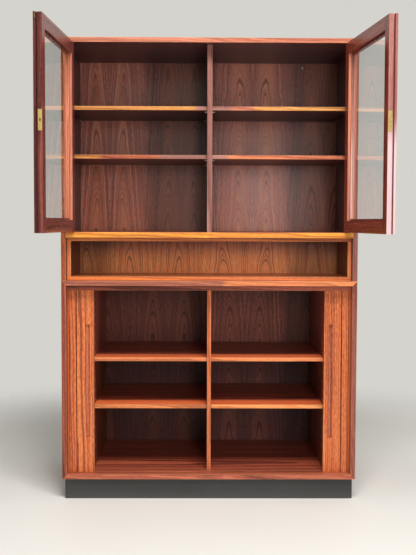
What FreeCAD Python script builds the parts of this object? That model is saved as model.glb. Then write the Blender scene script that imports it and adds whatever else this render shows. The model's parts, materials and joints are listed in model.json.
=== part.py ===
import FreeCAD, Part

import math
import os

from FreeCAD import Vector

# A rosewood wall unit: a low case with two tambour doors on a recessed plinth, a glazed display case
# above it, and an open niche between the two. Millimetres, +Z up, the front faces -Y. The origin is
# on the floor, in the middle of the low case's footprint.

# Overall sizes
case_width = 1000.0
base_depth = 536.0
display_depth = 432.0
base_opening = 646.0
niche_opening = 146.0
display_opening = 632.0

# Boards
board = 16.0
display_floor_thickness = 18.0
shelf_thickness = 13.0
back_thickness = 8.0
back_let_in = 8.0
arris = 0.8
overrun = 3.0

# Plinth
plinth_height = 69.0
plinth_board = 18.0
plinth_front_setback = 12.0
plinth_side_setback = 9.0
plinth_back_setback = 14.0

# Low case fittings
pocket_width = 73.0
liner_thickness = 12.0
base_divider_thickness = 13.0
base_divider_setback = 64.0
base_shelf_setback = 78.0
shelf_end_gap = 1.0
shelf_back_gap = 2.0
base_shelf_holes = (9, 4)

# Shelf pins and their holes
pin_radius = 2.5
pin_hole_play = 0.05
pin_hole_depth = 5.0
pin_end_play = 0.5
pin_reach = 9.0
pin_tip_chamfer = 0.6
pin_pitch = 33.0
base_first_hole = 79.0
base_hole_count = 15
base_front_column = 110.0
base_back_column = 48.0
display_first_hole = 116.0
display_hole_count = 14
display_front_column = 100.0
display_back_column = 32.0
display_shelf_holes = (9, 4)

# Tambours and their track
tambour_setback = 37.0
slat_thickness = 9.0
slat_width = 24.4
slat_gap = 0.6
slat_edge_bevel = 1.4
lead_stile_width = 59.5
lead_stile_thickness = 16.0
lead_inset_from_liner = 5.0
tambour_end_gap = 0.5
tambour_meeting_gap = 2.0
tambour_wall_gap = 3.0
pocket_slat_gap = 2.0
canvas_thickness = 1.2
canvas_lap = 13.0
canvas_end_inset = 3.0
track_setback = 32.0
track_depth = 28.0
track_height = 18.0
track_groove_depth = 8.0
track_groove_play = 0.5
track_bend_radius = 30.0
track_tail = 12.0
tongue_end_inset = 2.0
pull_length = 391.0
pull_width = 15.0
pull_depth = 9.0
pull_edge_distance = 14.0
pull_foot_above_floor = 120.0

# Niche box
niche_board = 12.0
niche_setback = 32.0
niche_depth = 276.0
niche_play = 0.5

# Display case fittings
display_divider_thickness = 17.0
display_divider_setback = 48.0
display_shelf_setback = 68.0

# Glazed doors
door_thickness = 24.0
door_member = 45.0
door_gap = 1.5
door_meeting_gap = 2.0
lip_overhang = 8.0
lip_thickness = 7.5
grip_groove_width = 3.0
grip_groove_depth = 6.0
glass_rebate = 6.0
glass_rebate_front = 6.0
glass_thickness = 4.0
glass_edge_gap = 1.0
bead_thickness = 5.0
left_door_open_deg = 93.7
right_door_open_deg = 96.3

# Knife hinges
pivot_from_side = 9.0
pivot_from_front = 3.0
pivot_radius = 1.6
pivot_play = 0.05
leaf_thickness = 2.5
leaf_eye_radius = 2.9
leaf_length = 34.0
leaf_washer_radius = 2.6
leaf_washer_play = 0.1

# Lock, its striking plate and the small bolt at the top of the left door
plate_height = 60.5
plate_width = 12.3
plate_thickness = 2.0
plate_rise = 10.0
lock_case_length = 34.0
lock_case_height = 48.0
lock_case_thickness = 10.0
lock_bolt_height = 9.0
lock_bolt_thickness = 3.2
lock_bolt_length = 32.0
lock_bolt_play = 0.2
strike_pocket_depth = 8.0
keyhole_radius = 2.2
keyhole_slot_width = 2.0
keyhole_slot_length = 8.0
key_plate_radius = 8.0
key_plate_thickness = 1.0
top_bolt_length = 18.0
top_bolt_width = 3.0
top_bolt_depth = 6.0
top_bolt_play = 0.2
top_bolt_sink = 0.5
top_bolt_socket_depth = 8.0
top_bolt_socket_play = 0.5

# Places worked out from the sizes above
half_width = case_width / 2
inner_half = half_width - board
y_front = -base_depth / 2
y_back = base_depth / 2
base_floor_z = plinth_height + board
base_ceiling_z = base_floor_z + base_opening
base_top_z = base_ceiling_z + board
base_back_face = y_back - back_thickness
liner_outer = inner_half - pocket_width
liner_inner = liner_outer - liner_thickness
track_foot_z = base_ceiling_z - track_height
track_back = y_front + track_setback + track_depth
track_end = base_back_face - track_tail
display_floor_foot_z = base_top_z + niche_opening
display_floor_z = display_floor_foot_z + display_floor_thickness
display_ceiling_z = display_floor_z + display_opening
display_top_z = display_ceiling_z + board
display_back = y_front + display_depth
display_back_face = display_back - back_thickness

pin_length = pin_hole_depth - pin_end_play + pin_reach
base_first_hole_z = base_floor_z + base_first_hole
base_columns = (y_front + base_front_column, base_back_face - base_back_column)
display_first_hole_z = display_floor_z + display_first_hole
display_columns = (y_front + display_front_column, display_back_face - display_back_column)

tambour_face = y_front + tambour_setback
tambour_middle = tambour_face + slat_thickness / 2
lead_edge = liner_inner - lead_inset_from_liner
lead_back_edge = lead_edge + lead_stile_width
tambour_foot_z = base_floor_z + tambour_end_gap
tambour_head_z = track_foot_z - tambour_end_gap
pocket_line = inner_half - tambour_wall_gap - slat_thickness / 2
track_half_groove = slat_thickness / 2 + track_groove_play
slat_pitch = slat_width + slat_gap
pocket_front = track_back + pocket_slat_gap
pocket_slat_count = int((track_end - pocket_front) / slat_pitch)

door_foot_z = display_floor_z + door_gap
door_head_z = display_ceiling_z - door_gap
door_middle_z = (door_foot_z + door_head_z) / 2
door_back = y_front + door_thickness
door_hinge_edge = inner_half - door_gap
door_lip_edge = door_meeting_gap / 2
door_main_edge = door_lip_edge + lip_overhang
glass_face = y_front + glass_rebate_front
bead_face = glass_face + glass_thickness
pivot_x = inner_half - pivot_from_side
pivot_y = y_front + pivot_from_front
lip_back = y_front + lip_thickness
groove_back = lip_back + grip_groove_width
plate_middle_y = (groove_back + door_back) / 2
plate_middle_z = door_middle_z + plate_rise
top_bolt_foot_z = door_head_z - top_bolt_sink - top_bolt_length

pieces = {}
shelf_pins = []


# Shapes

def box(x, y, z):
    """A box between the two values of each pair."""
    low = Vector(min(x), min(y), min(z))
    return Part.makeBox(max(x) - min(x), max(y) - min(y), max(z) - min(z), low)


def upright(outline, z):
    """An outline of X and Y points, raised between two heights."""
    points = [Vector(px, py, z[0]) for px, py in outline]
    face = Part.Face(Part.makePolygon(points + points[:1]))
    return face.extrude(Vector(0, 0, z[1] - z[0]))


def fore_and_aft(outline, y):
    """An outline of X and Z points, run from the first depth to the second."""
    points = [Vector(px, y[0], pz) for px, pz in outline]
    face = Part.Face(Part.makePolygon(points + points[:1]))
    return face.extrude(Vector(0, y[1] - y[0], 0))


def cylinder(radius, start, end):
    """A round bar between two points."""
    along = end.sub(start)
    return Part.makeCylinder(radius, along.Length, start, along)


def other_side(shape):
    """The same shape on the other side of the middle plane."""
    return shape.mirror(Vector(0, 0, 0), Vector(1, 0, 0))


def eased(shape, y, size=arris, directions=(0, 2)):
    """Rounds the straight edges that lie in the plane at depth y and run along X (0) or Z (2)."""
    found = []
    for edge in shape.Edges:
        first, last = edge.Vertexes[0].Point, edge.Vertexes[-1].Point
        in_plane = abs(first.y - y) < arris / 4 and abs(last.y - y) < arris / 4
        run = last.sub(first)
        if in_plane and run.Length > overrun and any(abs(run[i]) / run.Length > 1 - 1e-6 for i in directions):
            found.append(edge)
    return shape.makeFillet(size, found)


def keep(name, *shapes):
    """Files a piece under its name."""
    pieces[name] = shapes[0] if len(shapes) == 1 else Part.makeCompound(list(shapes))


def keep_pair(name, shape):
    """Files a piece of the left side and its twin on the right."""
    keep("left_" + name, shape)
    keep("right_" + name, other_side(shape))


# Plinth

def make_plinth():
    x_out = half_width - plinth_side_setback
    y_out = y_front + plinth_front_setback
    y_end = y_back - plinth_back_setback
    z = (0, plinth_height)
    front = box((-x_out, x_out), (y_out, y_out + plinth_board), z)
    keep("plinth_front", eased(front, y_out, directions=(2,)))
    keep("plinth_back", box((-x_out, x_out), (y_end - plinth_board, y_end), z))
    inside = (y_out + plinth_board, y_end - plinth_board)
    end_board = box((-x_out, plinth_board - x_out), inside, z)
    keep("plinth_ends", end_board, other_side(end_board))
    keep("plinth_brace", box((-plinth_board / 2, plinth_board / 2), inside, z))


# Low case

def track_groove(z):
    """The curtain groove: straight across the front, round both corners and back along the sides."""
    bend_x = pocket_line - track_bend_radius
    bend_y = tambour_middle + track_bend_radius
    across = (tambour_middle - track_half_groove, tambour_middle + track_half_groove)
    groove = box((-bend_x, bend_x), across, z)
    height = z[1] - z[0]
    outer = track_bend_radius + track_half_groove
    inner = track_bend_radius - track_half_groove
    for side in (-1, 1):
        centre = Vector(side * bend_x, bend_y, z[0])
        ring = Part.makeCylinder(outer, height, centre).cut(Part.makeCylinder(inner, height, centre))
        corner = box((centre.x, centre.x + side * outer), (bend_y - outer, bend_y), z)
        line = side * pocket_line
        lane = box((line - track_half_groove, line + track_half_groove), (bend_y, track_end), z)
        groove = groove.fuse([ring.common(corner), lane])
    return groove.removeSplitter()


def base_back_cutter():
    x_out = inner_half + back_let_in
    return box((-x_out, x_out), (base_back_face, y_back + overrun),
               (base_floor_z - back_let_in, base_ceiling_z + back_let_in))


def make_base_case():
    depth = (y_front, y_back)
    cutter = base_back_cutter()
    bottom = fore_and_aft([(-half_width, plinth_height), (half_width, plinth_height),
                           (inner_half, base_floor_z), (-inner_half, base_floor_z)], depth)
    bottom = eased(bottom, y_front, directions=(0,)).cut(cutter)
    groove_z = (base_floor_z - track_groove_depth, base_floor_z + overrun)
    keep("base_bottom", bottom.cut(track_groove(groove_z)))
    top = fore_and_aft([(-inner_half, base_ceiling_z), (inner_half, base_ceiling_z),
                        (half_width, base_top_z), (-half_width, base_top_z)], depth)
    keep("base_top", eased(top, y_front, directions=(0,)).cut(cutter))
    side = fore_and_aft([(-half_width, plinth_height), (-inner_half, base_floor_z),
                         (-inner_half, base_ceiling_z), (-half_width, base_top_z)], depth)
    keep_pair("base_side", eased(side, y_front, directions=(2,)).cut(cutter))
    x_out = inner_half + back_let_in
    keep("base_back", box((-x_out, x_out), (base_back_face, y_back),
                          (base_floor_z - back_let_in, base_ceiling_z + back_let_in)))


def hole_column(face_x, into, y, first_z, count):
    """A column of shelf pin holes in the face at face_x; into is -1 or 1, the way into the board."""
    holes = []
    for step in range(count):
        mouth = Vector(face_x, y, first_z + step * pin_pitch)
        end = mouth.add(Vector(into * pin_hole_depth, 0, 0))
        holes.append(cylinder(pin_radius + pin_hole_play, mouth, end))
    return holes


def pin(face_x, into, y, z):
    """A shelf pin, pushed into the face at face_x, with both ends chamfered."""
    start = Vector(face_x + into * (pin_hole_depth - pin_end_play), y, z)
    body = cylinder(pin_radius, start, start.sub(Vector(into * pin_length, 0, 0)))
    ends = [edge for edge in body.Edges if len(edge.Vertexes) == 1]
    return body.makeChamfer(pin_tip_chamfer, ends)


def make_base_inside():
    height = (base_floor_z, base_ceiling_z)
    liner = box((-liner_outer, -liner_inner), (track_back, base_back_face), height)
    liner_holes = []
    divider_half = base_divider_thickness / 2
    divider_front = y_front + base_divider_setback
    divider = box((-divider_half, divider_half), (divider_front, base_back_face), height)
    divider_holes = []
    for y in base_columns:
        liner_holes += hole_column(-liner_inner, -1, y, base_first_hole_z, base_hole_count)
        divider_holes += hole_column(-divider_half, 1, y, base_first_hole_z, base_hole_count)
        divider_holes += hole_column(divider_half, -1, y, base_first_hole_z, base_hole_count)
    keep_pair("liner", liner.cut(liner_holes))
    keep("base_divider", eased(divider, divider_front).cut(divider_holes))
    make_shelves("base", liner_inner, divider_half, y_front + base_shelf_setback, base_back_face,
                 base_first_hole_z, base_shelf_holes, base_columns)


def make_track():
    height = (track_foot_z, base_ceiling_z)
    front = y_front + track_setback
    strip = eased(box((-inner_half, inner_half), (front, track_back), height), front, directions=(0,))
    arm = box((-inner_half, -liner_outer), (track_back, (track_end + base_back_face) / 2), height)
    groove = track_groove((track_foot_z - overrun, track_foot_z + track_groove_depth))
    keep("tambour_track", strip.cut(groove), arm.cut(groove), other_side(arm).cut(groove))


def make_shelves(case, wall, divider_half, front, back_face, first_z, holes, columns):
    """Two shelves a bay on pins: the wall and the divider carry their ends."""
    for level, hole in zip(("upper", "lower"), holes):
        pin_z = first_z + hole * pin_pitch
        z = (pin_z + pin_radius, pin_z + pin_radius + shelf_thickness)
        x = (shelf_end_gap - wall, -divider_half - shelf_end_gap)
        shelf = eased(box(x, (front, back_face - shelf_back_gap), z), front, directions=(0,))
        keep("%s_left_shelf_%s" % (case, level), shelf)
        keep("%s_right_shelf_%s" % (case, level), other_side(shelf))
        for y in columns:
            for bay_pin in (pin(-wall, -1, y, pin_z), pin(-divider_half, 1, y, pin_z)):
                shelf_pins.append(bay_pin)
                shelf_pins.append(other_side(bay_pin))


# Tambours

def bevelled_slat(x, y, z):
    """A slat whose long front edges are bevelled, so that neighbours meet in a V."""
    slat = box(x, y, z)
    long_edges = []
    for edge in slat.Edges:
        first, last = edge.Vertexes[0].Point, edge.Vertexes[-1].Point
        if abs(first.x - last.x) + abs(first.y - last.y) < arris and abs(first.y - min(y)) < arris:
            long_edges.append(edge)
    return slat.makeChamfer(slat_edge_bevel, long_edges)


def make_tambour():
    z = (tambour_foot_z, tambour_head_z)
    lead_z = (tambour_foot_z - track_groove_depth + track_groove_play,
              tambour_head_z + track_groove_depth - track_groove_play)
    slat_back = tambour_face + slat_thickness
    stile = box((-lead_back_edge, -lead_edge), (tambour_face, tambour_face + lead_stile_thickness), z)
    stile = eased(stile, tambour_face, size=slat_edge_bevel, directions=(2,))
    lap = box((-lead_back_edge - overrun, canvas_lap - lead_back_edge),
              (slat_back, slat_back + lead_stile_thickness), (z[0] - overrun, z[1] + overrun))
    tongue = box((-pocket_line + track_bend_radius + tongue_end_inset, -lead_edge - tongue_end_inset),
                 (tambour_face, slat_back), lead_z)
    stile = stile.cut(lap).fuse(tongue).removeSplitter()
    pull_x = (-lead_edge - pull_edge_distance - pull_width, -lead_edge - pull_edge_distance)
    pull_y = (tambour_face - overrun, tambour_face + pull_depth)
    pull_foot = base_floor_z + pull_foot_above_floor
    keep_pair("tambour_stile", stile.cut(box(pull_x, pull_y, (pull_foot, pull_foot + pull_length))))
    slat_x = (-lead_back_edge - slat_gap - slat_width, -lead_back_edge - slat_gap)
    keep_pair("tambour_slat", bevelled_slat(slat_x, (tambour_face, slat_back), z))
    canvas = box((slat_x[0], canvas_lap - lead_back_edge), (slat_back, slat_back + canvas_thickness),
                 (z[0] + canvas_end_inset, z[1] - canvas_end_inset))
    keep_pair("tambour_canvas", canvas)


def make_pocket_curtain():
    """The slats put away in the pocket, standing along the side of the case."""
    slats = []
    x = (-pocket_line - slat_thickness / 2, slat_thickness / 2 - pocket_line)
    for step in range(pocket_slat_count):
        start = pocket_front + step * slat_pitch
        slats.append(box(x, (start, start + slat_width), (base_floor_z, tambour_head_z)))
    curtain = Part.makeCompound(slats)
    keep_pair("pocket_curtain", curtain)


# Niche

def make_niche():
    x_out = inner_half - niche_play
    front = y_front + niche_setback
    depth = (front, front + niche_depth)
    head = display_floor_foot_z - niche_play
    wall_z = (base_top_z + niche_board, head - niche_board)
    keep("niche_floor", eased(box((-x_out, x_out), depth, (base_top_z, wall_z[0])), front, directions=(0,)))
    keep("niche_ceiling", eased(box((-x_out, x_out), depth, (wall_z[1], head)), front, directions=(0,)))
    wall = box((-x_out, niche_board - x_out), depth, wall_z)
    keep_pair("niche_wall", eased(wall, front, directions=(2,)))
    x_in = x_out - niche_board
    keep("niche_back", box((-x_in, x_in), (depth[1] - back_thickness, depth[1]), wall_z))


# Display case

def make_display_case():
    depth = (y_front, display_back)
    x_out = inner_half + back_let_in
    back_z = (base_top_z, display_ceiling_z + back_let_in)
    cutter = box((-x_out, x_out), (display_back_face, display_back + overrun), back_z)
    side = fore_and_aft([(-half_width, base_top_z), (-inner_half, base_top_z),
                         (-inner_half, display_ceiling_z), (-half_width, display_top_z)], depth)
    side_holes = []
    for y in display_columns:
        side_holes += hole_column(-inner_half, -1, y, display_first_hole_z, display_hole_count)
    keep_pair("display_side", eased(side, y_front, directions=(2,)).cut([cutter] + side_holes))
    top = fore_and_aft([(-inner_half, display_ceiling_z), (inner_half, display_ceiling_z),
                        (half_width, display_top_z), (-half_width, display_top_z)], depth)
    top = eased(top, y_front, directions=(0,)).cut([cutter, top_bolt_socket()])
    top_leaf = case_leaf(display_ceiling_z, 1)
    keep("display_top", top.cut([top_leaf, other_side(top_leaf)]))
    floor_z = (display_floor_foot_z, display_floor_z)
    floor = box((-inner_half, inner_half), (y_front, display_back_face), floor_z)
    floor = eased(floor, y_front, directions=(0,))
    floor_leaf = case_leaf(display_floor_z, -1)
    keep("display_floor", floor.cut([floor_leaf, other_side(floor_leaf)]))
    keep("display_back", box((-x_out, x_out), (display_back_face, display_back), back_z))


def make_display_inside():
    divider_half = display_divider_thickness / 2
    front = y_front + display_divider_setback
    height = (display_floor_z, display_ceiling_z)
    divider = box((-divider_half, divider_half), (front, display_back_face), height)
    holes = []
    for y in display_columns:
        holes += hole_column(-divider_half, 1, y, display_first_hole_z, display_hole_count)
        holes += hole_column(divider_half, -1, y, display_first_hole_z, display_hole_count)
    keep("display_divider", eased(divider, front, directions=(2,)).cut(holes))
    make_shelves("display", inner_half, divider_half, y_front + display_shelf_setback, display_back_face,
                 display_first_hole_z, display_shelf_holes, display_columns)


# Knife hinges, as they lie with the left door shut

def case_leaf(face_z, into):
    """The leaf let into the case; into is 1 for the board above the door and -1 for the one below."""
    z = sorted((face_z, face_z + into * leaf_thickness))
    eye = cylinder(leaf_eye_radius, Vector(-pivot_x, pivot_y, z[0]), Vector(-pivot_x, pivot_y, z[1]))
    arm = box((-pivot_x - leaf_eye_radius, leaf_eye_radius - pivot_x), (pivot_y, pivot_y + leaf_length), z)
    return eye.fuse(arm).removeSplitter()


def case_leaf_with_pivot(face_z, into):
    """The case leaf, with its washer and the pivot that stands into the door's leaf."""
    foot = Vector(-pivot_x, pivot_y, face_z)
    washer_end = foot.sub(Vector(0, 0, into * (door_gap - leaf_washer_play)))
    pivot_end = foot.sub(Vector(0, 0, into * (door_gap + leaf_thickness)))
    washer = cylinder(leaf_washer_radius, foot, washer_end)
    pivot = cylinder(pivot_radius, foot, pivot_end)
    return case_leaf(face_z, into).fuse([washer, pivot]).removeSplitter()


def door_leaf(face_z, into):
    """The leaf let into the end of the hinge stile; into is the way into the door."""
    z = sorted((face_z, face_z + into * leaf_thickness))
    eye = cylinder(leaf_eye_radius, Vector(-pivot_x, pivot_y, z[0]), Vector(-pivot_x, pivot_y, z[1]))
    arm = box((-pivot_x, leaf_length - pivot_x), (pivot_y - leaf_eye_radius, pivot_y + leaf_eye_radius), z)
    return eye.fuse(arm).removeSplitter()


def door_leaf_with_eye(face_z, into):
    hole = cylinder(pivot_radius + pivot_play, Vector(-pivot_x, pivot_y, face_z - overrun),
                    Vector(-pivot_x, pivot_y, face_z + into * leaf_thickness + overrun))
    return door_leaf(face_z, into).cut(hole)


# Doors, drawn shut on the left side

def glass_opening_x():
    """The two sides of the sight opening."""
    return door_member - door_hinge_edge, -door_main_edge - door_member


def glass_opening_z():
    return door_foot_z + door_member, door_head_z - door_member


def grown(pair, size):
    """A pair of values, moved apart by size at each end."""
    return pair[0] - size, pair[1] + size


def glass_rebate_cutter():
    x = grown(glass_opening_x(), glass_rebate)
    return box(x, (glass_face, door_back + overrun), grown(glass_opening_z(), glass_rebate))


def hinge_stile():
    x = (-door_hinge_edge, door_member - door_hinge_edge)
    stile = eased(box(x, (y_front, door_back), (door_foot_z, door_head_z)), y_front, directions=(2,))
    leaves = [door_leaf(door_foot_z, 1), door_leaf(door_head_z, -1)]
    return stile.cut([glass_rebate_cutter()] + leaves)


def lock_stile():
    """The meeting stile: a lip in front and a grip groove behind it."""
    groove_x = -door_main_edge - grip_groove_depth
    sight_x = -door_main_edge - door_member
    outline = [(sight_x, y_front), (-door_lip_edge, y_front), (-door_lip_edge, lip_back),
               (groove_x, lip_back), (groove_x, groove_back), (-door_main_edge, groove_back),
               (-door_main_edge, door_back), (sight_x, door_back)]
    stile = upright(outline, (door_foot_z, door_head_z))
    stile = eased(stile, y_front, directions=(2,))
    return stile.cut(glass_rebate_cutter())


def plate_box(x):
    """The face plate's box on the meeting stile, through the two values of x."""
    y = (plate_middle_y - plate_width / 2, plate_middle_y + plate_width / 2)
    z = (plate_middle_z - plate_height / 2, plate_middle_z + plate_height / 2)
    return box(x, y, z)


def bolt_box(x, grow=0):
    """The lock bolt's section, through the two values of x."""
    y = grown((plate_middle_y - lock_bolt_thickness / 2, plate_middle_y + lock_bolt_thickness / 2), grow)
    z = grown((plate_middle_z - lock_bolt_height / 2, plate_middle_z + lock_bolt_height / 2), grow)
    return box(x, y, z)


def lock_case_box():
    x = (-door_main_edge - plate_thickness, -door_main_edge - plate_thickness - lock_case_length)
    y = (plate_middle_y - lock_case_thickness / 2, plate_middle_y + lock_case_thickness / 2)
    return box(x, y, (plate_middle_z - lock_case_height / 2, plate_middle_z + lock_case_height / 2))


def keyhole(y):
    """A keyhole through the two depths of y: a round hole above a slot."""
    middle = -door_main_edge - plate_thickness - lock_case_length / 2
    ends = [Vector(middle, depth, plate_middle_z) for depth in y]
    eye = cylinder(keyhole_radius, ends[0], ends[1])
    slot = box((middle - keyhole_slot_width / 2, middle + keyhole_slot_width / 2), y,
               (plate_middle_z - keyhole_slot_length, plate_middle_z))
    return eye.fuse(slot).removeSplitter()


def key_plate():
    """The round plate let in round the keyhole, on the outer face."""
    middle = -door_main_edge - plate_thickness - lock_case_length / 2
    middle_z = plate_middle_z - keyhole_slot_length / 2
    return cylinder(key_plate_radius, Vector(middle, y_front, middle_z),
                    Vector(middle, y_front + key_plate_thickness, middle_z))


def top_bolt_box(z, grow=0):
    """The small bolt's section in the back corner of the lip, through the two heights of z."""
    x = grown((-door_lip_edge - top_bolt_depth, -door_lip_edge), grow)
    y = grown((lip_back - top_bolt_width, lip_back), grow)
    return box(x, y, z)


def top_bolt_socket():
    """The hole in the display top that the small bolt shoots into."""
    z = (display_ceiling_z - overrun, display_ceiling_z + top_bolt_socket_depth)
    return top_bolt_box(z, top_bolt_socket_play)


def top_bolt_notch():
    """The notch in the lip that the small bolt slides in."""
    return top_bolt_box((top_bolt_foot_z - top_bolt_play, door_head_z + overrun))


def top_bolt():
    return top_bolt_box((top_bolt_foot_z, top_bolt_foot_z + top_bolt_length), -top_bolt_play)


def door_parts():
    """The pieces that both doors share, by name."""
    x_sides = glass_opening_x()
    z_sides = glass_opening_z()
    rebate = glass_rebate_cutter()
    parts = {"hinge_stile": hinge_stile(), "lock_stile": lock_stile()}
    for name, z in (("bottom_rail", (door_foot_z, z_sides[0])), ("top_rail", (z_sides[1], door_head_z))):
        rail = eased(box(x_sides, (y_front, door_back), z), y_front, directions=(0,))
        parts[name] = rail.cut(rebate)
    sheet_grow = glass_rebate - glass_edge_gap
    parts["glass"] = box(grown(x_sides, sheet_grow), (glass_face, bead_face), grown(z_sides, sheet_grow))
    bead_y = (bead_face, bead_face + bead_thickness)
    wide = grown(x_sides, glass_rebate)
    tall = grown(z_sides, glass_rebate)
    parts["beads"] = Part.makeCompound([
        box((wide[0], x_sides[0]), bead_y, tall), box((x_sides[1], wide[1]), bead_y, tall),
        box(x_sides, bead_y, (tall[0], z_sides[0])), box(x_sides, bead_y, (z_sides[1], tall[1]))])
    leaves = [door_leaf_with_eye(door_foot_z, 1), door_leaf_with_eye(door_head_z, -1)]
    parts["hinge_leaves"] = Part.makeCompound(leaves)
    return parts


def make_doors():
    face = -door_main_edge
    plate_x = (face, face - plate_thickness)
    left = door_parts()
    strike_pocket = bolt_box((face + overrun, face - plate_thickness - strike_pocket_depth), lock_bolt_play)
    left["lock_stile"] = left["lock_stile"].cut([plate_box(plate_x), strike_pocket, top_bolt_notch()])
    left["strike_plate"] = plate_box(plate_x).cut(strike_pocket)
    left["top_bolt"] = top_bolt()
    right = door_parts()
    lock_depth = (y_front - overrun, plate_middle_y)
    lock_end = face - plate_thickness - lock_case_length
    lock_hollow = bolt_box((face + overrun, lock_end + plate_thickness), lock_bolt_play)
    lock = plate_box(plate_x).fuse(lock_case_box()).removeSplitter().cut([lock_hollow, keyhole(lock_depth)])
    stile_cuts = [plate_box(plate_x), lock_case_box(), keyhole(lock_depth), key_plate()]
    right["lock_stile"] = right["lock_stile"].cut(stile_cuts)
    right["lock"] = Part.makeCompound([lock, key_plate().cut(keyhole(lock_depth))])
    right["lock_bolt"] = bolt_box((face - lock_bolt_play, face - lock_bolt_play - lock_bolt_length))
    hinge = Vector(-pivot_x, pivot_y, 0)
    for name, shape in left.items():
        shape.rotate(hinge, Vector(0, 0, 1), -left_door_open_deg)
        keep("left_door_" + name, shape)
    hinge = Vector(pivot_x, pivot_y, 0)
    for name, shape in right.items():
        twin = other_side(shape)
        twin.rotate(hinge, Vector(0, 0, 1), right_door_open_deg)
        keep("right_door_" + name, twin)
    leaves = [case_leaf_with_pivot(display_floor_z, -1), case_leaf_with_pivot(display_ceiling_z, 1)]
    keep("hinge_case_leaves", *(leaves + [other_side(leaf) for leaf in leaves]))


def report_travel():
    """Prints the joint values that the record states."""
    swing = math.radians(right_door_open_deg)
    print("left pivot", -pivot_x, pivot_y, "right pivot", pivot_x, pivot_y)
    print("tambour travel", lead_edge - tambour_meeting_gap / 2)
    print("lock bolt axis", -math.cos(swing), -math.sin(swing))
    print("pieces", len(pieces))


def main():
    make_plinth()
    make_base_case()
    make_base_inside()
    make_track()
    make_tambour()
    make_pocket_curtain()
    make_niche()
    make_display_case()
    make_display_inside()
    make_doors()
    keep("shelf_pins", *shelf_pins)
    os.makedirs("parts", exist_ok=True)
    for name, shape in pieces.items():
        shape.exportStep("parts/" + name + ".step")
    report_travel()


main()
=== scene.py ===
import json
import math
import random

import bmesh
import bpy
from mathutils import Matrix, Vector


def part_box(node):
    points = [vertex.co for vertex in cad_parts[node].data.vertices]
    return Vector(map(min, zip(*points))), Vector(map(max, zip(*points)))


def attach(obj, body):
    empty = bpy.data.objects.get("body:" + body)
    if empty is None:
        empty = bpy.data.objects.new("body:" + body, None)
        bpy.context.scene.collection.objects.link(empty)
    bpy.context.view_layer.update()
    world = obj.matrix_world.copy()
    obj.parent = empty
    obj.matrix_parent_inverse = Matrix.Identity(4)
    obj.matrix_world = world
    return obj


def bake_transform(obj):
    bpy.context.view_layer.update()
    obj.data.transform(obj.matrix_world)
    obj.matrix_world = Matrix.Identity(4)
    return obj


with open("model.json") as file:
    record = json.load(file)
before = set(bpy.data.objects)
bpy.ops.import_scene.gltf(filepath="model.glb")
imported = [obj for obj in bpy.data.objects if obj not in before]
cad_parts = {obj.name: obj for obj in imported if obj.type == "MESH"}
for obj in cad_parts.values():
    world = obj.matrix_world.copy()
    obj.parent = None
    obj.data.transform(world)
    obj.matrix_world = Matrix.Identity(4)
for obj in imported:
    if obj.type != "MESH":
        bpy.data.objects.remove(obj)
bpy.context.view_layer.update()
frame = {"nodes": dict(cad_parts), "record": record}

# The looks of a rosewood wall unit: grained and figured wood for every board, brass, glass, the painted
# plinth, the tambours' slats in their pockets, and the screws. Metres, in the frame of the imported
# model:
# +Z up, the front faces -Y.

nodes = frame["nodes"]
draw = random.Random(46)

# The camera, solved from the photograph's straight edges
CAMERA_PLACE = (-0.0355, -3.4908, 0.9466)
CAMERA_LENS_MM = 62.085
CAMERA_SENSOR_MM = 36.0
CAMERA_DOWN_DEG = 3.3238
CAMERA_RIGHT_DEG = 0.5424
CAMERA_ROLL_DEG = 0.1857
CAMERA_SEES_TO = 50.0

# Lamps: place, aim, width, height and power in watts
KEY_LAMP = ((0.35, -2.1, 3.5), (0.0, -0.1, 0.75), 1.7, 1.0, 118.0)
FRONT_LAMP = ((0.45, -3.6, 1.25), (0.0, 0.0, 1.0), 0.55, 1.0, 31.0)
WINDOW_LAMP = ((0.44, -3.55, 1.08), (0.0, 0.0, 1.0), 0.44, 1.20, 5.0)
SIDE_LAMP = ((1.75, -3.6, 0.90), (0.5, -0.7, 1.0), 0.5, 0.8, 9.0)

# A faded lamp's light falls from full to none between these shares of its size from its middle, and the
# gain gives back the power that this takes
FADE_FROM = 0.05
FADE_TO = 0.5
FADE_GAIN = 3.3

# Backdrop, sky and floor
BACKDROP_COLOUR = (0.66, 0.65, 0.61)
SKY_COLOUR = (1.0, 0.99, 0.97)
SKY_STRENGTH = 0.27
FLOOR_COLOUR = (0.88, 0.86, 0.80)
FLOOR_WORN = 0.95
FLOOR_WAVES = (2.0, 2.0, 2.0)
FLOOR_RADIUS = 4.5
FLOOR_SEGMENTS = 96
FLOOR_FADE_FROM = 1.1
FLOOR_FADE_TO = 2.3
FLOOR_DROP = 0.0005

# How far the doors are turned from closed at rest
LEFT_DOOR_TURN_DEG = -93.7
RIGHT_DOOR_TURN_DEG = 96.3

# The curtains of slats. Each starts at the case's side board and at rest ends a narrow gap away, at the
# leading slat. Both places are measured from the middle. Closed, it is as wide as the tambour's travel
# and that gap together.
CURTAIN_WALL = 0.4840
CURTAIN_START = 0.4785
TAMBOUR_TRAVEL = 0.393
CURTAIN_REACH = TAMBOUR_TRAVEL + CURTAIN_WALL - CURTAIN_START
CURTAIN_SLATS = 16
SLAT_BEVEL = 0.0014
SLAT_SEAM = 0.0006
SLAT_SEAM_DEPTH = 0.0045

# The seams between the tambours' slats: the first behind the stile, and the step to the next. A step
# wider than the stile leaves that with the first alone. The painted shade in a seam fades with the
# distance.
SEAM_FIRST = 0.4538
SEAM_STEP = 0.0250
STILE_SEAM_STEP = 1.0
SEAM_PAINTED_SHADE = 0.85
SEAM_SHADE_FULL = 0.0007
SEAM_SHADE_NONE = 0.0023
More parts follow.
